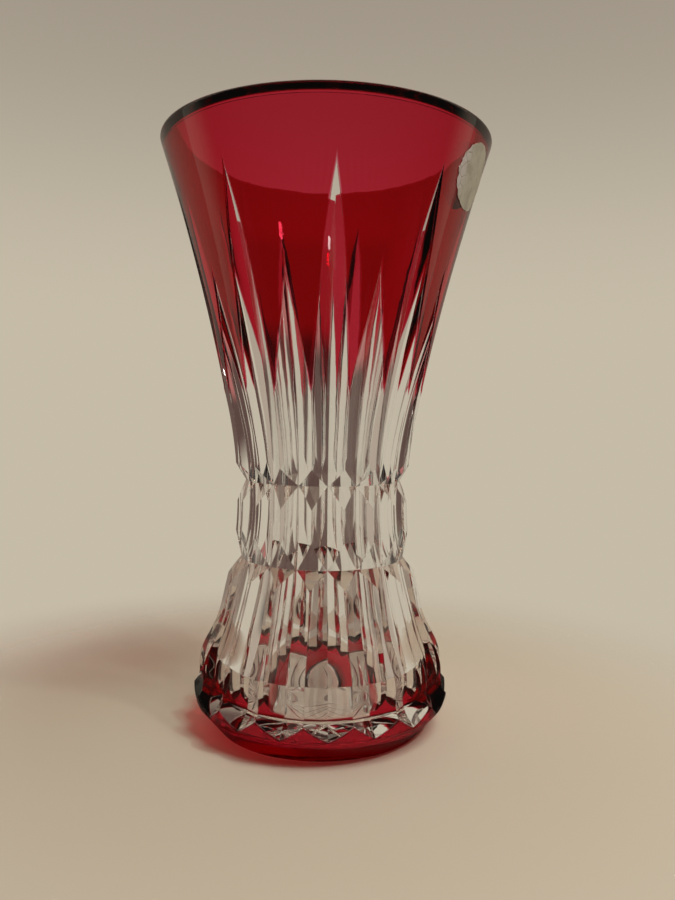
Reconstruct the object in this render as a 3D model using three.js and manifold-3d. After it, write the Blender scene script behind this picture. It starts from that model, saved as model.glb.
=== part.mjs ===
// A cut-crystal vase: clear glass cased in ruby glass, which the mitre cuts open.
// Millimetres, +Z up. The origin is the centre of the foot, on the plane the vase rests on.
import * as THREE from 'three';
import { mergeVertices } from 'three/addons/utils/BufferGeometryUtils.js';
import Module from 'manifold-3d';

const wasm = await Module();
wasm.setup();

// Overall form of the blown blank, before any cutting
const VASE_HEIGHT = 250;
const RIM_RADIUS = 70;
const FLARE_START_HEIGHT = 147;
const FLARE_START_RADIUS = 43.5;
const FLARE_START_LEAN = 0.2;
const BLANK_WAIST_HEIGHT = 96;
const BLANK_WAIST_RADIUS = 39.6;
const CREST_HEIGHT = 18;
const CREST_RADIUS = 55.8;
const CREST_REACH = 26;
const FOOT_SHOULDER_HEIGHT = 11;
const FOOT_SHOULDER_RADIUS = 54.2;
const FOOT_RADIUS = 45;
const RIM_BEVEL = 1;

// Casing: a skin of ruby glass over the clear body
const CASING_THICKNESS = 0.8;
const CASING_GAP = 0.3;
const CASING_SPLIT_HEIGHT = 96;
const TRIM_OVERSHOOT = 1;

// Hollow
const FLARE_WALL = 8;
const WALL_UNDER_GROOVES = 4.2;
const WAIST_WALL = 5.6;
const HOLLOW_WAIST_HEIGHT = 98;
const HOLLOW_BELLY_HEIGHT = 30;
const HOLLOW_BELLY_RADIUS = 40;
const HOLLOW_CORNER_RADIUS = 9;
const FLOOR_HEIGHT = 10;

// Mitre grooves: as many long as short, in turn, all with the same V section.
// A groove's floor is placed by its depth under the blank's skin, or in the waist by its radius.
const GROOVE_PAIRS = 9;
const GROOVE_ANGLE = 125;
const GROOVE_REACH = 10;
const GROOVE_RUN_OUT = 14;
const GROOVE_TIP = { depth: 0, height: 11 };
const GROOVE_AT_CREST = { depth: 7.1, height: 18 };
const GROOVE_OVER_CREST = { depth: 7.3, height: 28 };
const GROOVE_IN_BELL = { radius: 42.3, height: 42 };
const GROOVE_UNDER_LOWER_RING = { radius: 38.2, height: 58 };
const GROOVE_IN_BARREL = { radius: 33.6, height: 89 };
const GROOVE_MEETING = { depth: 4.5, height: 147 };
const LONG_GROOVE_MIDDLE = { depth: 3.4, height: 178.6 };
const LONG_GROOVE_UPPER = { depth: 2.2, height: 205 };
const LONG_GROOVE_END = { depth: 0, height: 229.8 };
const SHORT_GROOVE_UPPER = { depth: 1.3, height: 178.6 };
const SHORT_GROOVE_END = { depth: 0, height: 196.2 };

// Ring mitres: two V cuts right round the waist, as deep as the grooves where they cross
const UPPER_RING = { radius: 33.6, height: 106.5, slopeAbove: 32, slopeBelow: 22 };
const LOWER_RING = { radius: 35.3, height: 73, slopeAbove: 13, slopeBelow: 38 };
const RING_REACH = 8;

// Star cut under the foot, inside a plain ring on which the vase rests
const STAR_RADIUS = 37;
const STAR_DEPTH = 1.6;

// Blank paper label just below the rim, worn round and torn along one side
const LABEL_BELOW_RIM = 19.7;
const LABEL_TURN = 62;
const LABEL_WIDTH = 30.4;
const LABEL_LENGTH = 24.8;
const LABEL_THICKNESS = 0.3;
const LABEL_GAP = 0.3;
const LABEL_TEARS = 7;
const LABEL_TEAR_DEPTH = 0.06;
const LABEL_POINTS = 24;

// Fineness of the solids
const SEGMENTS_PER_GROOVE = 3;
const GROOVE_STEPS = 23;
const FLARE_STEPS = 5;
const BELL_STEPS = 5;
const CREST_STEPS = 3;
const HOLLOW_STEPS = 9;
const CORNER_STEPS = 4;
const WELD = 1e-4;

const GROOVES = 2 * GROOVE_PAIRS;
const GROOVE_PITCH = 2 * Math.PI / GROOVES;
const ROUND_SEGMENTS = SEGMENTS_PER_GROOVE * GROOVES;
const GROOVE_SLOPE = Math.tan(THREE.MathUtils.degToRad(GROOVE_ANGLE / 2));

const at = (radius, height) => new THREE.Vector2(radius, height);

// A closed mesh with shared corners becomes a solid; corners on the axis leave no empty faces.
function toSolid(geometry) {
  const bare = geometry.index ? geometry.toNonIndexed() : geometry.clone();
  bare.deleteAttribute('normal');
  bare.deleteAttribute('uv');
  const merged = mergeVertices(bare, WELD);
  const corners = merged.index.array;
  const faces = [];
  for (let i = 0; i < corners.length; i += 3) {
    const [a, b, c] = [corners[i], corners[i + 1], corners[i + 2]];
    if (a !== b && b !== c && c !== a) faces.push(a, b, c);
  }
  return new wasm.Manifold(new wasm.Mesh({
    numProp: 3,
    vertProperties: new Float32Array(merged.attributes.position.array),
    triVerts: new Uint32Array(faces),
  }));
}

function toGeometry(solid) {
  const { numProp, vertProperties, triVerts } = solid.getMesh();
  if (numProp !== 3) throw new Error('a cut solid holds positions alone');
  const geometry = new THREE.BufferGeometry();
  geometry.setAttribute('position', new THREE.BufferAttribute(vertProperties, 3));
  geometry.setIndex(new THREE.BufferAttribute(triVerts, 1));
  geometry.computeVertexNormals();
  return geometry;
}

// Turns a profile of (radius, height) points about +Z, starting over -Y.
function revolve(profile) {
  return toSolid(new THREE.LatheGeometry(profile, ROUND_SEGMENTS).rotateX(Math.PI / 2));
}

// The outside of the blank from the foot up to the rim, as (radius, height) points
function blankOutline() {
  const crest = new THREE.QuadraticBezierCurve(
    at(FOOT_SHOULDER_RADIUS, FOOT_SHOULDER_HEIGHT),
    at(CREST_RADIUS, FOOT_SHOULDER_HEIGHT + (CREST_HEIGHT - FOOT_SHOULDER_HEIGHT) / 2),
    at(CREST_RADIUS, CREST_HEIGHT),
  );
  const bell = new THREE.CubicBezierCurve(
    at(CREST_RADIUS, CREST_HEIGHT),
    at(CREST_RADIUS, CREST_HEIGHT + CREST_REACH),
    at(BLANK_WAIST_RADIUS, (CREST_HEIGHT + BLANK_WAIST_HEIGHT) / 2),
    at(BLANK_WAIST_RADIUS, BLANK_WAIST_HEIGHT),
  );
  const flareMiddle = (FLARE_START_HEIGHT + VASE_HEIGHT) / 2;
  const flare = new THREE.QuadraticBezierCurve(
    at(FLARE_START_RADIUS, FLARE_START_HEIGHT),
    at(FLARE_START_RADIUS + FLARE_START_LEAN * (flareMiddle - FLARE_START_HEIGHT), flareMiddle),
    at(RIM_RADIUS, VASE_HEIGHT),
  );
  return [
    at(FOOT_RADIUS, 0),
    ...crest.getPoints(CREST_STEPS),
    ...bell.getPoints(BELL_STEPS).slice(1),
    ...flare.getPoints(FLARE_STEPS),
  ];
}

// The blank's outside radius at a height
function blankRadius(height) {
  const outline = blankOutline();
  const above = Math.max(1, outline.findIndex((point) => point.y >= height));
  const [low, high] = [outline[above - 1], outline[above]];
  return low.x + (high.x - low.x) * (height - low.y) / (high.y - low.y);
}

// A groove station as a (radius, height) point
function station({ radius, depth, height }) {
  return at(radius ?? blankRadius(height) - depth, height);
}

// Moves an open outline inwards by a wall, keeping its two ends on the planes they lie in.
function inset(outline, wall) {
  const last = outline.length - 1;
  return outline.map((point, i) => {
    const along = outline[Math.min(i + 1, last)].clone().sub(outline[Math.max(i - 1, 0)]).normalize();
    if (i === 0 || i === last) return at(point.x - wall / along.y, point.y);
    return at(point.x - wall * along.y, point.y + wall * along.x);
  });
}

// The rim's outer edge is ground off at 45 degrees.
function bevelRim(outline, bevel) {
  const rim = outline.at(-1);
  return [...outline.slice(0, -1), at(rim.x, rim.y - bevel), at(rim.x - bevel, rim.y)];
}

// The hollow from the rim down to the middle of its floor. The flare is one wall thick down to
// where the grooves are deep, and below that the wall is kept under their floors.
function hollowOutline() {
  const rimRadius = RIM_RADIUS - FLARE_WALL;
  const wall = new THREE.SplineCurve([
    at(rimRadius, VASE_HEIGHT - RIM_BEVEL),
    at(blankRadius(LONG_GROOVE_UPPER.height) - FLARE_WALL, LONG_GROOVE_UPPER.height),
    station(GROOVE_MEETING).sub(at(WALL_UNDER_GROOVES, 0)),
    at(UPPER_RING.radius - WAIST_WALL, HOLLOW_WAIST_HEIGHT),
    at(HOLLOW_BELLY_RADIUS, HOLLOW_BELLY_HEIGHT),
  ]);
  const corner = new THREE.EllipseCurve(
    HOLLOW_BELLY_RADIUS - HOLLOW_CORNER_RADIUS, FLOOR_HEIGHT + HOLLOW_CORNER_RADIUS,
    HOLLOW_CORNER_RADIUS, HOLLOW_CORNER_RADIUS, 0, -Math.PI / 2, true,
  );
  return [
    at(rimRadius + RIM_BEVEL, VASE_HEIGHT),
    ...wall.getPoints(HOLLOW_STEPS),
    ...corner.getPoints(CORNER_STEPS),
    at(0, FLOOR_HEIGHT),
  ];
}

// A V-shaped tool drawn along a groove's floor, in the plane through +X. At both ends the wheel
// leaves the glass the way that it was going.
function grooveTool(stations) {
  const floor = stations.map(station);
  const runOut = (from, to) => to.clone().add(to.clone().sub(from).setLength(GROOVE_RUN_OUT));
  floor.unshift(runOut(floor[1], floor[0]));
  floor.push(runOut(floor.at(-2), floor.at(-1)));
  const half = GROOVE_REACH * GROOVE_SLOPE;
  const section = new THREE.Shape([at(0, 0), at(half, GROOVE_REACH), at(-half, GROOVE_REACH)]);
  const path = new THREE.CatmullRomCurve3(floor.map((point) => new THREE.Vector3(point.x, 0, point.y)));
  return new THREE.ExtrudeGeometry(section, { steps: GROOVE_STEPS, extrudePath: path, bevelEnabled: false });
}

// Grooves alternate round the vase, from a long one over -Y, and share their course below the flare.
function grooveCutters() {
  const shared = [
    GROOVE_TIP, GROOVE_AT_CREST, GROOVE_OVER_CREST, GROOVE_IN_BELL, GROOVE_UNDER_LOWER_RING, LOWER_RING,
    GROOVE_IN_BARREL, UPPER_RING, GROOVE_MEETING,
  ];
  const long = [...shared, LONG_GROOVE_MIDDLE, LONG_GROOVE_UPPER, LONG_GROOVE_END];
  const short = [...shared, SHORT_GROOVE_UPPER, SHORT_GROOVE_END];
  return Array.from({ length: GROOVES }, (unused, k) => {
    const tool = grooveTool(k % 2 ? short : long);
    return toSolid(tool.rotateZ(k * GROOVE_PITCH - Math.PI / 2));
  });
}

// The slopes are the angles between the two flanks and the axis.
function ringCutter({ radius, height, slopeAbove, slopeBelow }) {
  const rise = RING_REACH / Math.tan(THREE.MathUtils.degToRad(slopeAbove));
  const drop = RING_REACH / Math.tan(THREE.MathUtils.degToRad(slopeBelow));
  return revolve([
    at(radius, height),
    at(radius + RING_REACH, height - drop),
    at(radius + RING_REACH, height + rise),
    at(radius, height),
  ]);
}

// One ray of the star for each groove: a V that runs out to nothing at the star's edge
function starCutter() {
  const rays = Array.from({ length: GROOVES }, (unused, k) => {
    const half = STAR_DEPTH * GROOVE_SLOPE;
    const ray = new THREE.ConeGeometry(half, STAR_RADIUS, 4, 1);
    ray.translate(0, STAR_RADIUS / 2, 0);
    ray.scale(1, 1, STAR_DEPTH / half);
    return toSolid(ray.rotateZ(k * GROOVE_PITCH));
  });
  return rays.reduce((star, ray) => star.add(ray));
}

const cutters = [...grooveCutters(), ringCutter(UPPER_RING), ringCutter(LOWER_RING)];
const cutAll = (solid) => cutters.reduce((rest, cutter) => rest.subtract(cutter), solid);

function clearBody() {
  const outside = inset(blankOutline(), CASING_THICKNESS + CASING_GAP);
  const blank = revolve([at(0, 0), ...outside, ...hollowOutline()]);
  return cutAll(blank).subtract(starCutter());
}

// The casing is cut right through round the waist, so it stays as a collar and a foot band.
function casing(above, below) {
  const outline = blankOutline();
  const outside = bevelRim(outline, RIM_BEVEL);
  const inside = inset(outline, CASING_THICKNESS).reverse();
  const skin = revolve([...outside, ...inside, outside[0]]);
  const clear = RIM_RADIUS + TRIM_OVERSHOOT;
  const keep = revolve([at(0, below), at(clear, below), at(clear, above), at(0, above)]);
  return cutAll(skin.intersect(keep));
}

// An oval with one ragged side, bent to the flare: a thin shell cut by the outline as seen from outside
function paperLabel() {
  const outline = Array.from({ length: LABEL_POINTS }, (unused, i) => {
    const turn = i / LABEL_POINTS * 2 * Math.PI;
    const torn = Math.max(0, -Math.cos(turn)) * Math.abs(Math.sin(LABEL_TEARS * turn));
    const reach = 1 - LABEL_TEAR_DEPTH * torn;
    return at(LABEL_WIDTH / 2 * Math.cos(turn) * reach, LABEL_LENGTH / 2 * Math.sin(turn) * reach);
  });
  const reach = 2 * RIM_RADIUS;
  const stamp = new THREE.ExtrudeGeometry(new THREE.Shape(outline), { depth: reach, bevelEnabled: false });
  stamp.rotateX(Math.PI / 2);
  stamp.translate(0, 0, VASE_HEIGHT - LABEL_BELOW_RIM);
  stamp.rotateZ(THREE.MathUtils.degToRad(LABEL_TURN));
  const under = inset(blankOutline(), -LABEL_GAP);
  const over = inset(blankOutline(), -LABEL_GAP - LABEL_THICKNESS);
  const shell = revolve([...over, ...under.reverse(), over[0]]);
  return shell.intersect(toSolid(stamp));
}

const mesh = (name, geometry, look) => {
  const piece = new THREE.Mesh(geometry, new THREE.MeshStandardMaterial(look));
  piece.name = name;
  return piece;
};

const CLEAR = { color: 0xe6e2d8, roughness: 0.03, metalness: 0, transparent: true, opacity: 0.35 };
const RUBY = { color: 0x9e1426, roughness: 0.03, metalness: 0, transparent: true, opacity: 0.8 };
const PAPER = { color: 0xcfcabb, roughness: 0.8, metalness: 0 };

const vase = new THREE.Group();
vase.add(
  mesh('clear_body', toGeometry(clearBody()), CLEAR),
  mesh('ruby_collar', toGeometry(casing(VASE_HEIGHT + TRIM_OVERSHOOT, CASING_SPLIT_HEIGHT)), RUBY),
  mesh('ruby_foot_band', toGeometry(casing(CASING_SPLIT_HEIGHT, -TRIM_OVERSHOOT)), RUBY),
  mesh('paper_label', toGeometry(paperLabel()), PAPER),
);

export default vase;
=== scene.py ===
"""Looks for a cut-glass vase cased in ruby glass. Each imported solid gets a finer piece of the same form."""
import math

import bpy
import numpy as np
from mathutils import Matrix, Vector

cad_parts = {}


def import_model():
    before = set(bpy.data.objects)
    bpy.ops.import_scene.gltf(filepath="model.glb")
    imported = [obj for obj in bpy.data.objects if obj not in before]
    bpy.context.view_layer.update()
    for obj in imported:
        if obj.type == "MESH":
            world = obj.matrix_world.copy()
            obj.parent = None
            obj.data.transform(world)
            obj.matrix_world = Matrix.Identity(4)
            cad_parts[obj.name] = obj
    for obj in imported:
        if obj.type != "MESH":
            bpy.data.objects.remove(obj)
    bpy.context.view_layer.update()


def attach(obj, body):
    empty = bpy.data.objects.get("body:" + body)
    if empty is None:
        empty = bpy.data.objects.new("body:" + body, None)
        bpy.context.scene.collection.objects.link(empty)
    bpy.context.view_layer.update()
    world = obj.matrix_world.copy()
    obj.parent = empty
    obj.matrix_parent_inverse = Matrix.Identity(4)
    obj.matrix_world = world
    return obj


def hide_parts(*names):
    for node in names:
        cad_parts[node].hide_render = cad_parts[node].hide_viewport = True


MM = 0.001

# Camera, fitted to the photograph: distances in millimetres, angles in degrees
CAMERA_DISTANCE = 341.3
CAMERA_HEIGHT = 136.9
CAMERA_TURN = 3.33
CAMERA_YAW = 1.05
CAMERA_PITCH = 2.93
CAMERA_ROLL = 0.69
LENS = 31.09
NEAR_CLIP = 10

# Colours of backdrop and floor as the camera sees them
BACKDROP = (0.56, 0.5, 0.39)
SEEN_TOP = (0.35, 0.3, 0.24)
FLOOR = (0.52, 0.45, 0.36)

# Colours as the glass shows them: backdrop and floor, refracted and reflected, the room in front, and the
# vase's shadow painted on the backdrop, low, at the waist and through the ruby collar
BACKDROP_TOP = (0.43, 0.38, 0.3)
BACKDROP_REFLECTED = (0.3, 0.24, 0.19)
FLOOR_IN_GLASS = (0.44, 0.36, 0.28)
FLOOR_REFLECTED = (0.12, 0.08, 0.07)
ROOM = (0.055, 0.048, 0.043)
LOW_SHADE = (0.3, 0.235, 0.18)
WAIST_SHADE = (0.11, 0.065, 0.053)
RUBY_SHADE = (0.45, 0.16, 0.14)

# Stage in metres: how far the floor lies under the vase, where it fades, and its roughness, then the backdrop
# behind the vase and the heights between which it darkens
FLOOR_DROP = 0.0002
FLOOR_REACH = (0.1, 0.28)
FLOOR_ROUGHNESS = 0.9
BACKDROP_BEHIND = 0.12
BACKDROP_HALF_WIDTH = 0.5
BACKDROP_HEIGHTS = (-0.3, 0.7)
BACKDROP_TOP_HEIGHTS = (0.22, 0.32)

# Painted shade on the backdrop in metres: its middle, half its waist and that waist's heights, how much wider
# it gets for each metre below and above, its top, its soft edge, and where its colours change
SHADE_MIDDLE = -0.055
SHADE_WAIST = 0.065
SHADE_WAIST_HEIGHTS = (0.05, 0.1)
SHADE_SPREAD_BELOW = 0.4
SHADE_SPREAD_ABOVE = 0.33
SHADE_TOP = 0.235
SHADE_SOFTNESS = 0.008
LOW_SHADE_HEIGHTS = (0.01, 0.08)
RUBY_SHADE_HEIGHTS = (0.165, 0.185)

# World, as parts of a direction of length 1: upwards, where the seen backdrop darkens, backwards, where the
# dim room gives way to the backdrop, and downwards, where refracted light comes from the pale floor
SEEN_TOP_RISE = (0.1, 0.5)
ROOM_END = (-0.1, 0.3)
LOW_ROOM = (0.16, -0.05)

# Lamps: place and side in metres, and power in watts
SOFT_LAMP = ((0.38, -0.38, 1.05), 0.5, 9)
SMALL_LAMP = ((0.55, -0.45, 0.9), 0.05, 2.5)
LAMP_COLOUR = (1, 0.95, 0.88)
LAMP_AIM = (0, 0, 0.12)

# Times that light may bounce in the glass, be reflected, or pass straight through
BOUNCES = 24
GLOSSY_BOUNCES = 12
TRANSPARENT_BOUNCES = 48

# Form of the blank, in millimetres
VASE_HEIGHT = 250
RIM_RADIUS = 70.5
FLARE_START_HEIGHT = 147
FLARE_START_RADIUS = 43.5
FLARE_START_LEAN = 0.2
WAIST_HEIGHT = 96
WAIST_RADIUS = 39.6
CREST_HEIGHT = 18
CREST_RADIUS = 55.8
CREST_REACH = 26
FOOT_SHOULDER_HEIGHT = 11
FOOT_SHOULDER_RADIUS = 54.2
FOOT_RADIUS = 45

# Rim's rounding and its inner edge's drop, the casing's thickness, and the gap under it, in millimetres
RIM_ROUNDING = 1.5
RIM_DROP = 0.8
CASING = 0.5
BOND = 0.02

# Hollow: the flare's wall, how it grows upwards and the heights it is set at, then radii further down as
# (height, radius), and the floor
FLARE_WALL = 8
FLARE_WALL_GROWTH = 0.02
FLARE_WALL_HEIGHTS = [234, 219, 205]
HOLLOW_RADII = [(147, 34.8), (98, 28), (28, 41)]
HOLLOW_CORNER = 8
FLOOR_HEIGHT = 9

# Floors of the mitre grooves as (height, depth under the skin), or in the waist as (height, radius)
GROOVE_PAIRS = 9
GROOVE_ANGLE = 125
FOOT_DEPTHS = [(11, 0), (18, 7.1), (28, 7.3)]
WAIST_RADII = [(42, 42.3), (58, 38.2), (73, 35.3), (89, 33.6), (106.5, 33.6)]
LONG_DEPTHS = [(147, 4.5), (178.6, 3.4), (205, 2.2), (229.8, 0)]
SHORT_DEPTHS = [(147, 4.5), (178.6, 1.3), (196.2, 0)]

# Ring mitres as (height, radius, degrees from the axis above, and below)
RINGS = [(106.5, 33.6, 32, 22), (73, 35.3, 13, 38)]

# Star under the foot
STAR_RADIUS = 37
STAR_DEPTH = 1.6

# Paper label: its middle's distance below the rim and turn in degrees from -Y, its size and lift
LABEL_BELOW_RIM = 19.7
LABEL_TURN = 62
LABEL_WIDTH = 30.4
LABEL_LENGTH = 24.8
LABEL_THICKNESS = 0.2
LABEL_GAP = 0.1

# Label's edge: tears and frays of its ragged side, counted as if they went all round, ripples of the whole
# edge, and how deep each of these is as a share of the label's size
TEARS = 7
TEAR_DEPTH = 0.045
FRAYS = 23
FRAY_DEPTH = 0.012
RIPPLES = 31
RIPPLE_DEPTH = 0.006

# Glass: how strongly it bends light, the ruby's absorption of red, green and blue for each metre, and the
# share of a lamp's light that each surface lets straight through into the shadow
GLASS_IOR = 1.54
RUBY_ABSORPTION = (860, 6900, 5300)
SHADOW_LIGHT = 0.85

# Detail of the glass in metres and features per metre: edges rounded by the polishing, waves of the blown
# surface, fine lines left by the cutting wheel, and smudges, with the noise values where these start and fill
EDGE_ROUNDING = 0.00025
WAVE_HEIGHT = 0.00012
WAVES = 55
LINE_HEIGHT = 0.000004
LINES = 500
LINE_STRETCH = (1, 1, 0.04)
SMUDGES = 70
SMUDGE_DETAIL = 4
SMUDGE_START = (0.52, 0.7)
SMUDGE_ROUGHNESS = 0.05

# Paper: colours, stains, fibres and creases in metres and features per metre, the noise values where stains
# start and fill, where the ragged side is rubbed, how wide creases are within their cells, and how strong
# they are away from the ragged side
PAPER = (0.58, 0.53, 0.4)
PAPER_STAIN = (0.43, 0.385, 0.29)
PAPER_RUBBED = (0.68, 0.6, 0.54)
PAPER_ROUGHNESS = 0.8
PAPER_STAINS = 160
PAPER_STAIN_DETAIL = 5
PAPER_STAIN_START = (0.4, 0.75)
PAPER_RUBBED_REACH = (0.08, -0.3)
PAPER_FIBRES = 2500
PAPER_FIBRE_DETAIL = 4
PAPER_FIBRE_HEIGHT = 0.00003
PAPER_CREASES = 240
PAPER_CREASE_WIDTH = 0.06
PAPER_CREASE_HEIGHT = 0.0001
PAPER_CREASE_LEAST = 0.25

# Fineness: columns in a flank, a cut edge of casing and an arc of skin, millimetres between even rows and
# from one of them to a row that a groove or ring needs, numbers of other rows, and points on the outline
FLANK_COLUMNS = 4
STRIP_COLUMNS = 2
ARC_COLUMNS = 8
ROW_STEP = 1.0
LEAST_ROW_STEP = 0.3
HOLLOW_ROWS = 80
CORNER_ROWS = 24
RIM_ROWS = 12
FLOOR_ROWS = 14
STAR_ROWS = 24
LABEL_ROWS = 14
LABEL_COLUMNS = 144
SHOULDER_POINTS = 12
CURVE_POINTS = 60

# Exactness: the least arc in radians and depth in millimetres that count, the steps over which slopes are
# measured and ends of grooves are looked for, the halvings that find a ridge, the decimals of rows' heights
# and of points in millimetres, and the least angle of a sharp edge in degrees
LEAST_ARC = 0.0002
LEAST_DEPTH = 0.001
SLOPE_STEP = 1.0
SEARCH_STEP = 0.01
RIDGE_HALVINGS = 40
ROW_DIGITS = 3
POINT_DIGITS = 5
SHARP_ANGLE = 9

SECTORS = 2 * GROOVE_PAIRS
SECTOR = 2 * math.pi / SECTORS
FLANK_RISE = 1 / math.tan(math.radians(GROOVE_ANGLE / 2))


def bezier(points, count):
    """Points on a quadratic or cubic Bezier curve."""
    t = np.linspace(0, 1, count)[:, None]
    layer = [np.array(p, float) for p in points]
    while len(layer) > 1:
        layer = [a * (1 - t) + b * t for a, b in zip(layer, layer[1:])]
    return layer[0]


def blank_outline():
    """The blank's outside as (radius, height) rows from the foot to the rim."""
    foot_shoulder = (FOOT_SHOULDER_RADIUS, FOOT_SHOULDER_HEIGHT)
    under_crest = (CREST_RADIUS, (FOOT_SHOULDER_HEIGHT + CREST_HEIGHT) / 2)
    crest = (CREST_RADIUS, CREST_HEIGHT)
    crest_top = (CREST_RADIUS, CREST_HEIGHT + CREST_REACH)
    waist_start = (WAIST_RADIUS, (CREST_HEIGHT + WAIST_HEIGHT) / 2)
    waist = (WAIST_RADIUS, WAIST_HEIGHT)
    flare_start = (FLARE_START_RADIUS, FLARE_START_HEIGHT)
    middle = (FLARE_START_HEIGHT + VASE_HEIGHT) / 2
    flare_middle = (FLARE_START_RADIUS + FLARE_START_LEAN * (middle - FLARE_START_HEIGHT), middle)
    shoulder = bezier([foot_shoulder, under_crest, crest], SHOULDER_POINTS)
    bell = bezier([crest, crest_top, waist_start, waist], CURVE_POINTS)
    flare = bezier([flare_start, flare_middle, (RIM_RADIUS, VASE_HEIGHT)], CURVE_POINTS)
    return np.vstack([[(FOOT_RADIUS, 0)], shoulder, bell[1:], flare])


OUTLINE = blank_outline()
RIM_LEAN = math.atan2(OUTLINE[-1, 0] - OUTLINE[-2, 0], OUTLINE[-1, 1] - OUTLINE[-2, 1])
RIM_OFFSET = RIM_ROUNDING * (math.tan(RIM_LEAN) + 1 / math.cos(RIM_LEAN))
INNER_OFFSET = RIM_ROUNDING * (1 / math.cos(RIM_LEAN) - math.tan(RIM_LEAN))
RIM_START = VASE_HEIGHT - RIM_ROUNDING * (1 + math.sin(RIM_LEAN))
HOLLOW_TOP = VASE_HEIGHT - RIM_DROP - RIM_ROUNDING * (1 - math.sin(RIM_LEAN))


def skin(z):
    """The blank's radius."""
    return np.interp(z, OUTLINE[:, 1], OUTLINE[:, 0])


def skin_slope(z):
    """How fast the blank widens upwards."""
    low = np.maximum(z - SLOPE_STEP / 2, 0)
    high = np.minimum(z + SLOPE_STEP / 2, VASE_HEIGHT)
    return (skin(high) - skin(low)) / (high - low)


def spline(stations):
    """A natural cubic spline through (height, value) stations, which gives values and slopes at heights."""
    x, y = np.array(sorted(stations), float).T
    h = np.diff(x)
    n = len(x)
    rows = np.zeros((n, n))
    right = np.zeros(n)
    rows[0, 0] = rows[-1, -1] = 1
    for i in range(1, n - 1):
        rows[i, i - 1 : i + 2] = h[i - 1], 2 * (h[i - 1] + h[i]), h[i]
        right[i] = 6 * ((y[i + 1] - y[i]) / h[i] - (y[i] - y[i - 1]) / h[i - 1])
    bend = np.linalg.solve(rows, right)

    def values(z):
        i = np.clip(np.searchsorted(x, z, side="right") - 1, 0, n - 2)
        a, b = x[i + 1] - z, z - x[i]
        low = y[i] / h[i] - bend[i] * h[i] / 6
        high = y[i + 1] / h[i] - bend[i + 1] * h[i] / 6
        value = (bend[i] * a**3 + bend[i + 1] * b**3) / (6 * h[i]) + low * a + high * b
        slope = (bend[i + 1] * b**2 - bend[i] * a**2) / (2 * h[i]) - low + high
        return value, slope

    return values


def groove_floor(upper):
    """Height to the radius of a groove's floor and to how steeply its flanks rise in a level section."""
    under_skin = [(z, skin(z) - depth) for z, depth in FOOT_DEPTHS]
    above = [(z, skin(z) - depth) for z, depth in upper]
    values = spline(under_skin + WAIST_RADII + above)
    first, last = FOOT_DEPTHS[0][0], upper[-1][0]

    def floor(z):
        radius, slope = values(np.clip(z, first, last))
        beyond = np.clip(z - last, 0, None) * slope + np.clip(first - z, 0, None) * abs(slope)
        radius = np.where((z < first) | (z > last), np.maximum(skin(z), radius + beyond), radius)
        return radius, FLANK_RISE * np.hypot(1, slope)

    return floor


LONG_FLOOR = groove_floor(LONG_DEPTHS)
SHORT_FLOOR = groove_floor(SHORT_DEPTHS)


def under_casing(z):
    """The casing's inside. Where the blank leans, a level section shows the casing thicker."""
    return skin(z) - CASING * np.hypot(1, skin_slope(z))


def clear_skin(z):
    """The clear body's outside between the grooves: just under the casing, or the ring mitres."""
    radius = under_casing(z) - BOND
    for height, ring_radius, above, below in RINGS:
        rise = np.where(z > height, math.tan(math.radians(above)), math.tan(math.radians(below)))
        radius = np.minimum(radius, ring_radius + abs(z - height) * rise)
    return radius


def flank(floor, rise, angle):
    """The radius of a groove's flank at an angle from the groove's middle."""
    return floor / (np.cos(angle) - rise * np.sin(angle))


def reach(radius, floor, rise):
    """The angle from a groove's middle at which its flank reaches a radius."""
    tilt = np.arctan(rise)
    angle = np.arccos(np.clip(floor / (radius * np.hypot(1, rise)), -1, 1)) - tilt
    return np.where((floor >= radius) | (angle < LEAST_ARC), 0, np.clip(angle, 0, SECTOR))


def ridge(z):
    """The angle at which a long groove's flank meets the next short groove's."""
    long, short = LONG_FLOOR(z), SHORT_FLOOR(z)
    low, high = np.zeros_like(z), np.full_like(z, SECTOR)
    for _ in range(RIDGE_HALVINGS):
        middle = (low + high) / 2
        nearer_long = flank(*long, middle) < flank(*short, SECTOR - middle)
        low, high = np.where(nearer_long, middle, low), np.where(nearer_long, high, middle)
    return (low + high) / 2


def edges(z, surface):
    """Where a surface starts and ends between a long and a short groove, and its radius there.
    The two edges are one ridge where the grooves meet below the surface."""
    long, short = LONG_FLOOR(z), SHORT_FLOOR(z)
    radius = surface(z)
    start, end = reach(radius, *long), SECTOR - reach(radius, *short)
    top = ridge(z)
    met = start > end - LEAST_ARC
    radius = np.where(met, np.minimum(flank(*long, top), radius), radius)
    return np.where(met, top, start), np.where(met, top, end), radius


def crossings(values, z):
    """Heights between which values change sign, found to a straight line's accuracy."""
    i = np.nonzero(np.sign(values[:-1]) * np.sign(values[1:]) < 0)[0]
    return z[i] + (z[i + 1] - z[i]) * values[i] / (values[i] - values[i + 1])


def groove_ends():
    """Heights at which a groove starts or ends in a surface, or two grooves meet in it."""
    fine = np.linspace(0, VASE_HEIGHT, round(VASE_HEIGHT / SEARCH_STEP) + 1)
    long, short = LONG_FLOOR(fine), SHORT_FLOOR(fine)
    heights = [LONG_DEPTHS[-1][0], SHORT_DEPTHS[-1][0], FOOT_DEPTHS[0][0]]
    for surface in (skin, under_casing, clear_skin):
        radius = surface(fine)
        sum_of_reaches = reach(radius, *long) + reach(radius, *short) - SECTOR
        for values in (sum_of_reaches, long[0] - radius, short[0] - radius):
            heights += list(crossings(values, fine))
    return heights


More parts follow.
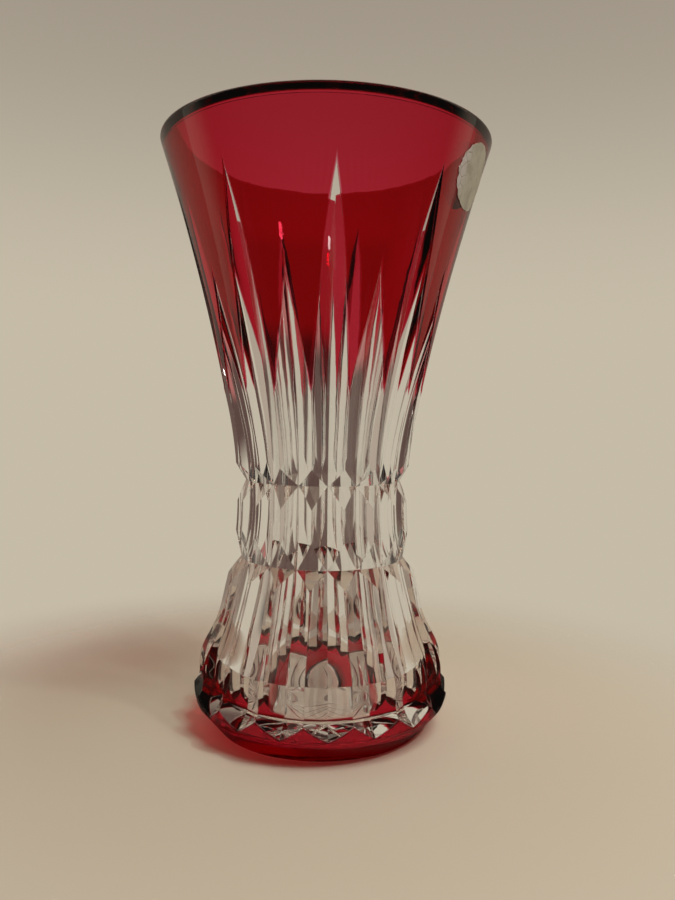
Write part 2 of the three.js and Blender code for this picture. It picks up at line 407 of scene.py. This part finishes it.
def row_heights():
    """Even rows, and rows of their own where a groove ends, two grooves meet or a ring lies."""
    special = [0, FOOT_SHOULDER_HEIGHT, RIM_START] + [ring[0] for ring in RINGS] + groove_ends()
    special = np.unique(np.round(special, ROW_DIGITS))
    even = np.arange(0, VASE_HEIGHT, ROW_STEP)
    clear_of = np.abs(even[:, None] - special[None, :]).min(axis=1) > LEAST_ROW_STEP
    rows = np.sort(np.concatenate([special, even[clear_of]]))
    return rows[rows <= np.round(RIM_START, ROW_DIGITS)]


def between(start, end, count, last=False):
    """Columns from start to end, one row for each height. The last one is left out unless asked for."""
    share = np.linspace(0, 1, count + 1)[: None if last else -1]
    return start[:, None] * (1 - share) + end[:, None] * share


def flank_columns(z, start, end, surface, groove, count, last=False):
    """Angles and radii on a groove's flank, which lie in the surface where the groove doesn't reach it."""
    angle = between(start, end, count, last)
    floor, rise = groove(z)
    radius = np.minimum(flank(floor[:, None], rise[:, None], angle), surface[:, None])
    return angle, np.where(end[:, None] == 0, surface[:, None], radius)


def half_sector(long, start, end, radius, short):
    """Angles and radii from a long groove's middle to the short groove's: a flank, the skin, and a flank
    that is given from the short groove's middle outwards."""
    arc = between(start, end, ARC_COLUMNS)
    angle = np.hstack([long[0], arc, SECTOR - short[0][:, ::-1]])
    return angle, np.hstack([long[1], np.repeat(radius[:, None], ARC_COLUMNS, 1), short[1][:, ::-1]])


def clear_sector(z):
    """The clear body's outside."""
    start, end, radius = edges(z, clear_skin)
    surface, middle = clear_skin(z), np.zeros_like(z)
    long = flank_columns(z, middle, start, surface, LONG_FLOOR, FLANK_COLUMNS)
    short = flank_columns(z, middle, SECTOR - end, surface, SHORT_FLOOR, FLANK_COLUMNS, last=True)
    return half_sector(long, start, end, radius, short)


def casing_outside(z):
    """The casing's skin and its two cut edges."""
    start, end, radius = edges(z, skin)
    inner_start, inner_end, inner_radius = edges(z, under_casing)
    surface = skin(z)
    long = flank_columns(z, inner_start, start, surface, LONG_FLOOR, STRIP_COLUMNS)
    short_inner, short_outer = SECTOR - inner_end, SECTOR - end
    short = flank_columns(z, short_inner, short_outer, surface, SHORT_FLOOR, STRIP_COLUMNS, last=True)
    for groove, side in ((LONG_FLOOR, long[1]), (SHORT_FLOOR, short[1])):
        cut_through = groove(z)[0] < under_casing(z) + LEAST_DEPTH
        side[:, 0] = np.where(cut_through, inner_radius, side[:, 0])
    return half_sector(long, start, end, radius, short)


def casing_inside(z):
    """The casing's face against the clear body, with as many columns as its outside."""
    start, end, radius = edges(z, under_casing)
    at_start = np.repeat(start[:, None], STRIP_COLUMNS, 1)
    at_end = np.repeat(end[:, None], STRIP_COLUMNS, 1)
    angle = np.hstack([at_start, between(start, end, ARC_COLUMNS, last=True), at_end])
    return angle, np.repeat(radius[:, None], angle.shape[1], 1)


def all_round(angle, radius, z, shared=True):
    """Repeats a sector round the vase, mirrored in turn, as rows of points.
    Sectors share their outermost columns, unless each is to keep its own."""
    if np.ndim(z) == 1:
        z = np.repeat(z[:, None], angle.shape[1], 1)
    taken = slice(None, -1) if shared else slice(None)
    rounds = []
    for k in range(SECTORS):
        order = slice(None) if k % 2 == 0 else slice(None, None, -1)
        turned = (angle if k % 2 == 0 else SECTOR - angle)[:, order][:, taken] + k * SECTOR
        out, height = radius[:, order][:, taken], z[:, order][:, taken]
        rounds.append(np.stack([out * np.sin(turned), -out * np.cos(turned), height], axis=2))
    return np.concatenate(rounds, axis=1)


def revolved(angle, stations, shared=True):
    """Rows of points at (radius, height) stations, all with one sector's angles."""
    radius, height = np.array(stations, float).T
    across = radius[:, None].repeat(angle.shape[1], 1)
    return all_round(angle.repeat(len(stations), 0), across, height, shared)


def grid_faces(index, bonded, ring, gap_every):
    """Faces between rows of point numbers, but for those without area or in a gap, and for each face
    whether it lies against the other glass."""
    following = np.roll(index, -1, axis=0) if ring else index[1:]
    low = index if ring else index[:-1]
    corners = [low, np.roll(low, -1, 1), np.roll(following, -1, 1), following]
    faces, against = [], []
    for i, quad in enumerate(np.stack(corners, axis=2).reshape(-1, 4).tolist()):
        row, column = divmod(i, index.shape[1])
        face = [point for k, point in enumerate(quad) if point != quad[k - 1]]
        in_gap = gap_every and column % gap_every == gap_every - 1
        if len(set(face)) == len(face) > 2 and not in_gap:
            faces.append(face)
            against.append(float(bonded(row, column)))
    return faces, against


def grid_mesh(name, rows, bonded, ring=False, gap_every=None):
    """One closed mesh from rows of points. Points that coincide are joined. bonded(row, column) says which
    faces lie against the other glass. The last of every so many columns has no faces where there is a gap."""
    given = np.round(rows.reshape(-1, 3), POINT_DIGITS)
    points, index = np.unique(given, axis=0, return_inverse=True)
    faces, against = grid_faces(index.reshape(rows.shape[:2]), bonded, ring, gap_every)
    mesh = bpy.data.meshes.new(name)
    mesh.from_pydata((points * MM).tolist(), [], faces)
    mesh.attributes.new("bonded", "FLOAT", "FACE").data.foreach_set("value", against)
    mesh.shade_smooth()
    mesh.set_sharp_from_angle(angle=math.radians(SHARP_ANGLE))
    return mesh


def star_rows():
    """The foot's underside from the middle to the resting ring, with a V ray under each groove."""
    rows = []
    outer = under_casing(np.array([0.0]))[0] - BOND
    for radius in [*np.linspace(0, STAR_RADIUS, STAR_ROWS), outer]:
        share = max(0, 1 - radius / STAR_RADIUS)
        ray = math.atan2(STAR_DEPTH / FLANK_RISE * share, radius) if radius else SECTOR / 2
        half = min(SECTOR / 2, ray)
        flank_angles = np.linspace(0, half, FLANK_COLUMNS + 1)[:-1]
        arc = np.linspace(half, SECTOR - half, ARC_COLUMNS + 1)[:-1]
        angle = np.concatenate([flank_angles, arc, SECTOR - np.append(flank_angles, half)[::-1]])
        off = np.minimum(angle, SECTOR - angle)
        depth = np.maximum(0, STAR_DEPTH * share - FLANK_RISE * radius * np.tan(off))
        rows.append(all_round(angle[None, :], np.full((1, len(angle)), radius), depth[None, :]))
    return np.concatenate(rows)


def rounded(middle, radius, start, end):
    """(radius, height) stations on a rounded edge. Angles are in radians, from straight outwards."""
    turn = np.linspace(start, end, RIM_ROWS)
    return list(zip(middle + radius * np.cos(turn), VASE_HEIGHT - RIM_ROUNDING + radius * np.sin(turn)))


def outer_rim(depth):
    """The rim's outer rounding, at a depth under its skin."""
    return rounded(RIM_RADIUS - RIM_OFFSET, RIM_ROUNDING - depth, -RIM_LEAN, math.pi / 2)


def inner_rim():
    """The rim's inner rounding, which lies a little lower than the outer one."""
    middle = RIM_RADIUS - FLARE_WALL + INNER_OFFSET
    edge = rounded(middle, RIM_ROUNDING, math.pi / 2, math.pi - RIM_LEAN)
    return [(radius, z - RIM_DROP) for radius, z in edge]


def hollow_wall():
    """The hollow's (radius, height) stations from the rim's inner edge down to the bell."""
    flare = []
    for z in [HOLLOW_TOP, *FLARE_WALL_HEIGHTS]:
        flare.append((z, skin(z) - FLARE_WALL - FLARE_WALL_GROWTH * (z - VASE_HEIGHT)))
    z = np.linspace(HOLLOW_TOP, HOLLOW_RADII[-1][0], HOLLOW_ROWS)
    return list(zip(spline(flare + HOLLOW_RADII)(z)[0], z))


def hollow_floor():
    """The hollow's stations round its lower corner and over the floor to the middle."""
    floor_radius = HOLLOW_RADII[-1][1] - HOLLOW_CORNER
    turn = np.linspace(0, math.pi / 2, CORNER_ROWS)
    rise = HOLLOW_CORNER * (1 - np.sin(turn))
    corner = list(zip(floor_radius + HOLLOW_CORNER * np.cos(turn), FLOOR_HEIGHT + rise))
    return corner + [(radius, FLOOR_HEIGHT) for radius in np.linspace(floor_radius, 0, FLOOR_ROWS)[1:]]


def clear_body_mesh(z):
    """The clear crystal body: underside, cut outside, rim and hollow."""
    columns = 2 * FLANK_COLUMNS + ARC_COLUMNS
    angle, radius = clear_sector(z)
    outside = all_round(angle, radius, z)
    rim = outer_rim(CASING + BOND)
    rim.append((rim[-1][0] - BOND, VASE_HEIGHT))
    even = np.linspace(0, SECTOR, columns + 1)[None, :]
    hollow = revolved(even, inner_rim()[:-1] + hollow_wall() + hollow_floor())
    underside = star_rows()
    first = len(underside)
    last = first + len(outside) + len(rim) - 1
    cased = np.append(np.isclose(clear_skin(z), under_casing(z) - BOND), np.full(len(rim), True))

    def bonded(row, column):
        arc = FLANK_COLUMNS <= column % columns < FLANK_COLUMNS + ARC_COLUMNS
        return first <= row < last and arc and cased[row - first] and cased[row - first + 1]

    rows = np.concatenate([underside, outside, revolved(angle[-1:], rim), hollow])
    return grid_mesh("clear_crystal_body", rows, bonded)


def casing_mesh(name, z, rim=()):
    """A closed skin between the heights in z. rim is the top's (radius, height) stations, from outside in."""
    outside = all_round(*casing_outside(z), z, shared=False)
    inside = all_round(*casing_inside(z), z, shared=False)[::-1]
    top = [revolved(casing_outside(z[-1:])[0], rim, shared=False)] if rim else []
    rows = np.concatenate([outside, *top, inside])
    inner_rim_rows = RIM_ROWS + 1 if rim else 0
    first = len(rows) - len(inside) - inner_rim_rows
    last = len(rows) - 1

    def bonded(row, column):
        return first <= row < last

    return grid_mesh(name, rows, bonded, ring=True, gap_every=2 * STRIP_COLUMNS + ARC_COLUMNS + 1)


def label_edge(turn):
    """The label's edge as a share of its half width and height: nearly even, but ragged on one side."""
    torn = np.sin(TEARS * turn) ** 2 * TEAR_DEPTH + np.sin(FRAYS * turn + 1) * FRAY_DEPTH
    return 1 - np.clip(-np.cos(turn), 0, 1) * torn + RIPPLE_DEPTH * np.sin(RIPPLES * turn)


def label_mesh():
    """A worn oval stuck to the flare, with one ragged side."""
    turn = np.arange(LABEL_COLUMNS) / LABEL_COLUMNS * 2 * math.pi
    share = np.linspace(0, 1, LABEL_ROWS + 1)[:, None] * label_edge(turn)[None, :]
    across = LABEL_WIDTH / 2 * np.cos(turn) * share
    height = VASE_HEIGHT - LABEL_BELOW_RIM + LABEL_LENGTH / 2 * np.sin(turn) * share
    sheets = []
    for lift in (LABEL_GAP + LABEL_THICKNESS, LABEL_GAP):
        radius = skin(height) + lift * np.hypot(1, skin_slope(height))
        angle = math.radians(LABEL_TURN) + across / radius
        sheets.append(np.stack([radius * np.sin(angle), -radius * np.cos(angle), height], axis=2))
    rows = np.concatenate([sheets[0], sheets[1][::-1]])
    mesh = grid_mesh("worn_paper_label", rows[:, ::-1], lambda row, column: 0)
    mark_across(mesh)
    return mesh


def mark_across(mesh):
    """Writes how far across the label each of its points lies, from -1 on its ragged side to 1."""
    turn = math.radians(LABEL_TURN)
    half = LABEL_WIDTH / 2 * MM
    across = [(v.co.x * math.cos(turn) + v.co.y * math.sin(turn)) / half for v in mesh.vertices]
    mesh.attributes.new("across", "FLOAT", "POINT").data.foreach_set("value", across)


def new_material(name):
    material = bpy.data.materials.new(name)
    material.use_nodes = True
    tree = material.node_tree
    tree.nodes.clear()
    return material, tree, tree.nodes.new("ShaderNodeOutputMaterial")


def maths(tree, operation, first, second):
    """The output of a Math node. Either input is a number or another node's output."""
    node = tree.nodes.new("ShaderNodeMath")
    node.operation = operation
    for socket, value in zip(node.inputs, (first, second)):
        if isinstance(value, (int, float)):
            socket.default_value = value
        else:
            tree.links.new(value, socket)
    return node.outputs[0]


def smooth(tree, value, low, high):
    """Rises softly from 0 at low to 1 at high."""
    node = tree.nodes.new("ShaderNodeMapRange")
    node.interpolation_type = "SMOOTHSTEP"
    node.inputs["From Min"].default_value = low
    node.inputs["From Max"].default_value = high
    tree.links.new(value, node.inputs["Value"])
    return node.outputs[0]


def blend(tree, share, first, second):
    """Mixes two colours, each a tuple or another node's output."""
    node = tree.nodes.new("ShaderNodeMix")
    node.data_type = "RGBA"
    tree.links.new(share, node.inputs[0])
    for socket, value in ((node.inputs[6], first), (node.inputs[7], second)):
        if isinstance(value, tuple):
            socket.default_value = (*value, 1)
        else:
            tree.links.new(value, socket)
    return node.outputs[2]


def link_mix(tree, share, first, second):
    """Mixes two shaders' outputs."""
    mix = tree.nodes.new("ShaderNodeMixShader")
    for socket, value in zip(mix.inputs, (share, first, second)):
        tree.links.new(value, socket)
    return mix.outputs[0]


def light_path(tree, kind):
    return tree.nodes.new("ShaderNodeLightPath").outputs[kind]


def coordinates(tree, kind):
    """The x, y and z of texture coordinates."""
    axes = tree.nodes.new("ShaderNodeSeparateXYZ")
    tree.links.new(tree.nodes.new("ShaderNodeTexCoord").outputs[kind], axes.inputs[0])
    return axes.outputs


def noise(tree, scale, detail=2, stretch=(1, 1, 1)):
    """A noise texture over the vase, with so many features per metre."""
    place = tree.nodes.new("ShaderNodeMapping")
    place.inputs["Scale"].default_value = stretch
    tree.links.new(tree.nodes.new("ShaderNodeTexCoord").outputs["Object"], place.inputs["Vector"])
    node = tree.nodes.new("ShaderNodeTexNoise")
    node.inputs["Scale"].default_value = scale
    node.inputs["Detail"].default_value = detail
    tree.links.new(place.outputs[0], node.inputs["Vector"])
    return node.outputs[0]


def bump(tree, height, size, normal=None):
    """A normal bent by heights from 0 to 1, where 1 stands for size in metres."""
    node = tree.nodes.new("ShaderNodeBump")
    node.inputs["Distance"].default_value = size
    tree.links.new(height, node.inputs["Height"])
    if normal is not None:
        tree.links.new(normal, node.inputs["Normal"])
    return node.outputs[0]


def add_glass_detail(tree, shader):
    """Edges softened by the polish, slow waves, fine lines along the cuts, and faint smudges."""
    edge = tree.nodes.new("ShaderNodeBevel")
    edge.inputs["Radius"].default_value = EDGE_ROUNDING
    waves = bump(tree, noise(tree, WAVES), WAVE_HEIGHT, edge.outputs[0])
    lines = bump(tree, noise(tree, LINES, stretch=LINE_STRETCH), LINE_HEIGHT, waves)
    tree.links.new(lines, shader.inputs["Normal"])
    smudges = smooth(tree, noise(tree, SMUDGES, SMUDGE_DETAIL), *SMUDGE_START)
    tree.links.new(maths(tree, "MULTIPLY", smudges, SMUDGE_ROUGHNESS), shader.inputs["Roughness"])


def polished_glass(tree):
    shader = tree.nodes.new("ShaderNodeBsdfPrincipled")
    shader.inputs["Base Color"].default_value = (1, 1, 1, 1)
    shader.inputs["Transmission Weight"].default_value = 1
    shader.inputs["IOR"].default_value = GLASS_IOR
    add_glass_detail(tree, shader)
    return shader.outputs[0]


def absorbing_volume(tree, absorption):
    """Takes so much red, green and blue out of the light for each metre that it goes through the glass."""
    density = max(absorption)
    volume = tree.nodes.new("ShaderNodeVolumeAbsorption")
    volume.inputs["Color"].default_value = (*[1 - a / density for a in absorption], 1)
    volume.inputs["Density"].default_value = density
    return volume.outputs[0]


def glass_material(name, absorption=None):
    """Polished glass. Light goes straight through the faces that are fused to the other glass, and part of
    a lamp's light through all of them, so that the shadow has the glass's colour."""
    material, tree, output = new_material(name)
    glass = polished_glass(tree)
    straight = tree.nodes.new("ShaderNodeBsdfTransparent").outputs[0]
    bonded = tree.nodes.new("ShaderNodeAttribute")
    bonded.attribute_name = "bonded"
    shadow = maths(tree, "MULTIPLY", light_path(tree, "Is Shadow Ray"), SHADOW_LIGHT)
    through = maths(tree, "MAXIMUM", bonded.outputs["Fac"], shadow)
    tree.links.new(link_mix(tree, through, glass, straight), output.inputs["Surface"])
    if absorption is not None:
        tree.links.new(absorbing_volume(tree, absorption), output.inputs["Volume"])
    return material


def clear_crystal():
    return glass_material("clear_crystal")


def ruby_casing():
    return glass_material("ruby_casing", RUBY_ABSORPTION)


def creases(tree):
    """Thin creases, from 0 in the open paper to 1 along a crease."""
    node = tree.nodes.new("ShaderNodeTexVoronoi")
    node.feature = "DISTANCE_TO_EDGE"
    node.inputs["Scale"].default_value = PAPER_CREASES
    tree.links.new(tree.nodes.new("ShaderNodeTexCoord").outputs["Object"], node.inputs["Vector"])
    return smooth(tree, node.outputs["Distance"], PAPER_CREASE_WIDTH, 0.0)


def rubbed_side(tree):
    """From 0 in the sound paper to 1 on its ragged side."""
    place = tree.nodes.new("ShaderNodeAttribute")
    place.attribute_name = "across"
    ragged = maths(tree, "ADD", place.outputs["Fac"], noise(tree, PAPER_STAINS))
    return smooth(tree, ragged, *PAPER_RUBBED_REACH)


def worn_label_paper():
    """Blank worn paper: stained and creased, with darker creases, and rubbed pale on its ragged side."""
    material, tree, output = new_material("worn_label_paper")
    shader = tree.nodes.new("ShaderNodeBsdfPrincipled")
    rubbed = rubbed_side(tree)
    crease_marks = maths(tree, "MULTIPLY", creases(tree), maths(tree, "ADD", rubbed, PAPER_CREASE_LEAST))
    stained = smooth(tree, noise(tree, PAPER_STAINS, PAPER_STAIN_DETAIL), *PAPER_STAIN_START)
    paper = blend(tree, rubbed, blend(tree, stained, PAPER, PAPER_STAIN), PAPER_RUBBED)
    # The creases are darker, the more so near the ragged side, in the stain's colour.
    tree.links.new(blend(tree, crease_marks, paper, PAPER_STAIN), shader.inputs["Base Color"])
    fibres = bump(tree, noise(tree, PAPER_FIBRES, PAPER_FIBRE_DETAIL), PAPER_FIBRE_HEIGHT)
    tree.links.new(bump(tree, crease_marks, -PAPER_CREASE_HEIGHT, fibres), shader.inputs["Normal"])
    shader.inputs["Roughness"].default_value = PAPER_ROUGHNESS
    tree.links.new(shader.outputs[0], output.inputs["Surface"])
    return material


def add_piece(mesh, material):
    piece = bpy.data.objects.new(mesh.name, mesh)
    bpy.context.scene.collection.objects.link(piece)
    mesh.materials.append(material)
    return piece


def dress(mesh, material, node):
    """Puts a piece in the place of its solid."""
    piece = add_piece(mesh, material)
    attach(piece, "root")
    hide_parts(node)


def add_vase():
    """The clear body, the casing above and below the rows where the cuts go through it, and the label."""
    z = row_heights()
    start, end, _ = edges(z, under_casing)
    cut_through = np.nonzero(start == end)[0]
    below, above = z[: cut_through[0] + 1], z[cut_through[-1] :]
    rim = outer_rim(0)[1:] + outer_rim(CASING)[::-1]
    ruby = ruby_casing()
    dress(clear_body_mesh(z), clear_crystal(), "clear_body")
    dress(casing_mesh("ruby_collar_skin", above, rim), ruby, "ruby_collar")
    dress(casing_mesh("ruby_foot_band_skin", below), ruby, "ruby_foot_band")
    dress(label_mesh(), worn_label_paper(), "paper_label")


def add_camera():
    """A camera at the photograph's angle: almost level, and turned a little about all three axes."""
    turn, yaw = math.radians(CAMERA_TURN), math.radians(CAMERA_YAW)
    pitch, roll = math.radians(CAMERA_PITCH), math.radians(CAMERA_ROLL)
    back = Matrix.Rotation(-turn, 3, "Z")
    level = math.cos(pitch)
    forward = back @ Vector((level * math.sin(yaw), level * math.cos(yaw), -math.sin(pitch)))
    side = back @ Vector((math.cos(yaw), -math.sin(yaw), 0))
    up = side.cross(forward)
    right = math.cos(roll) * side + math.sin(roll) * up
    top = math.cos(roll) * up - math.sin(roll) * side
    data = bpy.data.cameras.new("camera")
    data.lens = LENS
    data.clip_start = NEAR_CLIP * MM
    camera = bpy.data.objects.new("camera", data)
    bpy.context.scene.collection.objects.link(camera)
    place = back @ Vector((0, -CAMERA_DISTANCE * MM, CAMERA_HEIGHT * MM))
    camera.matrix_world = Matrix.Translation(place) @ Matrix((right, top, -forward)).transposed().to_4x4()
    bpy.context.scene.camera = camera


def add_floor():
    """A pale floor that fades out away from the vase, and is dimmer where the glass shows it."""
    half = FLOOR_REACH[1]
    corners = [(x * half, y * half, -FLOOR_DROP) for x, y in ((-1, -1), (1, -1), (1, 1), (-1, 1))]
    mesh = bpy.data.meshes.new("floor")
    mesh.from_pydata(corners, [], [(0, 1, 2, 3)])
    material, tree, output = new_material("pale_floor")
    shader = tree.nodes.new("ShaderNodeBsdfPrincipled")
    shader.inputs["Roughness"].default_value = FLOOR_ROUGHNESS
    in_glass = blend(tree, light_path(tree, "Is Transmission Ray"), FLOOR_REFLECTED, FLOOR_IN_GLASS)
    colour = blend(tree, light_path(tree, "Is Camera Ray"), in_glass, FLOOR)
    tree.links.new(colour, shader.inputs["Base Color"])
    distance = tree.nodes.new("ShaderNodeVectorMath")
    distance.operation = "LENGTH"
    tree.links.new(tree.nodes.new("ShaderNodeTexCoord").outputs["Object"], distance.inputs[0])
    faded = smooth(tree, distance.outputs["Value"], *FLOOR_REACH)
    nothing = tree.nodes.new("ShaderNodeBsdfTransparent").outputs[0]
    tree.links.new(link_mix(tree, faded, shader.outputs[0], nothing), output.inputs["Surface"])
    add_piece(mesh, material)


def shade_width(tree, z):
    """Half the width of the vase's shade painted on the backdrop: narrow at the waist, wider above and below.
    """
    low, high = SHADE_WAIST_HEIGHTS
    past_high = maths(tree, "MAXIMUM", maths(tree, "SUBTRACT", z, high), 0)
    past_low = maths(tree, "MAXIMUM", maths(tree, "SUBTRACT", low, z), 0)
    above = maths(tree, "MULTIPLY", past_high, SHADE_SPREAD_ABOVE)
    below = maths(tree, "MULTIPLY", past_low, SHADE_SPREAD_BELOW)
    return maths(tree, "ADD", maths(tree, "ADD", above, below), SHADE_WAIST)


def shade_colour(tree):
    """The backdrop's colour as the glass shows it, with a painted shadow of the vase, waisted, left of its
    middle.
    """
    x, _, z = coordinates(tree, "Object")
    off = maths(tree, "ABSOLUTE", maths(tree, "SUBTRACT", x, SHADE_MIDDLE), 0)
    within = maths(tree, "SUBTRACT", shade_width(tree, z), off)
    inside = smooth(tree, within, -SHADE_SOFTNESS, SHADE_SOFTNESS)
    under = smooth(tree, z, SHADE_TOP + SHADE_SOFTNESS, SHADE_TOP - SHADE_SOFTNESS)
    upper = blend(tree, smooth(tree, z, *RUBY_SHADE_HEIGHTS), WAIST_SHADE, RUBY_SHADE)
    shade = blend(tree, smooth(tree, z, *LOW_SHADE_HEIGHTS), LOW_SHADE, upper)
    pale = blend(tree, smooth(tree, z, *BACKDROP_TOP_HEIGHTS), BACKDROP, BACKDROP_TOP)
    refracted = blend(tree, maths(tree, "MULTIPLY", inside, under), pale, shade)
    return blend(tree, light_path(tree, "Is Transmission Ray"), BACKDROP_REFLECTED, refracted)


def add_backdrop():
    """A glowing backdrop close behind the vase, which only the glass shows, with the vase's shadow painted on
    it.
    """
    half, (low, high), y = BACKDROP_HALF_WIDTH, BACKDROP_HEIGHTS, BACKDROP_BEHIND
    corners = [(-half, y, low), (half, y, low), (half, y, high), (-half, y, high)]
    mesh = bpy.data.meshes.new("backdrop")
    mesh.from_pydata(corners, [], [(0, 1, 2, 3)])
    material, tree, output = new_material("shaded_backdrop")
    glow = tree.nodes.new("ShaderNodeEmission")
    tree.links.new(shade_colour(tree), glow.inputs["Color"])
    nothing = tree.nodes.new("ShaderNodeBsdfTransparent").outputs[0]
    refracted, reflected = light_path(tree, "Is Transmission Ray"), light_path(tree, "Is Glossy Ray")
    in_glass = maths(tree, "MAXIMUM", refracted, reflected)
    tree.links.new(link_mix(tree, in_glass, nothing, glow.outputs[0]), output.inputs["Surface"])
    add_piece(mesh, material)


def background(tree, colour):
    node = tree.nodes.new("ShaderNodeBackground")
    tree.links.new(colour, node.inputs["Color"])
    return node.outputs[0]


def add_world():
    """A pale backdrop all round for the camera. The glass shows it behind the vase, and a dim room in front,
    but what the glass refracts from low down is as pale as the floor."""
    world = bpy.data.worlds.new("studio")
    bpy.context.scene.world = world
    world.use_nodes = True
    tree = world.node_tree
    tree.nodes.clear()
    output = tree.nodes.new("ShaderNodeOutputWorld")
    _, y, z = coordinates(tree, "Generated")
    level = blend(tree, smooth(tree, y, *ROOM_END), ROOM, BACKDROP)
    low = maths(tree, "MULTIPLY", smooth(tree, z, *LOW_ROOM), light_path(tree, "Is Transmission Ray"))
    around = background(tree, blend(tree, low, level, FLOOR_IN_GLASS))
    seen = background(tree, blend(tree, smooth(tree, z, *SEEN_TOP_RISE), BACKDROP, SEEN_TOP))
    camera = light_path(tree, "Is Camera Ray")
    tree.links.new(link_mix(tree, camera, around, seen), output.inputs["Surface"])


def add_lamp(name, place, side, power):
    """A square lamp that the camera doesn't see, aimed at the vase's middle."""
    data = bpy.data.lights.new(name, "AREA")
    data.shape = "RECTANGLE"
    data.size = data.size_y = side
    data.energy = power
    data.color = LAMP_COLOUR
    lamp = bpy.data.objects.new(name, data)
    bpy.context.scene.collection.objects.link(lamp)
    lamp.location = place
    lamp.rotation_euler = (Vector(LAMP_AIM) - Vector(place)).to_track_quat("-Z", "Y").to_euler()
    lamp.visible_camera = False
    return lamp


def add_stage():
    """Camera, floor, backdrop, world, a soft lamp that isn't mirrored, and a small one for the sparkles."""
    add_camera()
    add_floor()
    add_backdrop()
    add_world()
    soft = add_lamp("soft_lamp", *SOFT_LAMP)
    soft.visible_glossy = soft.visible_transmission = False
    add_lamp("small_lamp", *SMALL_LAMP)


def set_view():
    """The plain view transform, and enough bounces for light to get through the cuts."""
    scene = bpy.context.scene
    scene.view_settings.view_transform = "Standard"
    scene.cycles.max_bounces = BOUNCES
    scene.cycles.transmission_bounces = BOUNCES
    scene.cycles.glossy_bounces = GLOSSY_BOUNCES
    scene.cycles.transparent_max_bounces = TRANSPARENT_BOUNCES


def main():
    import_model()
    set_view()
    add_stage()
    add_vase()


main()
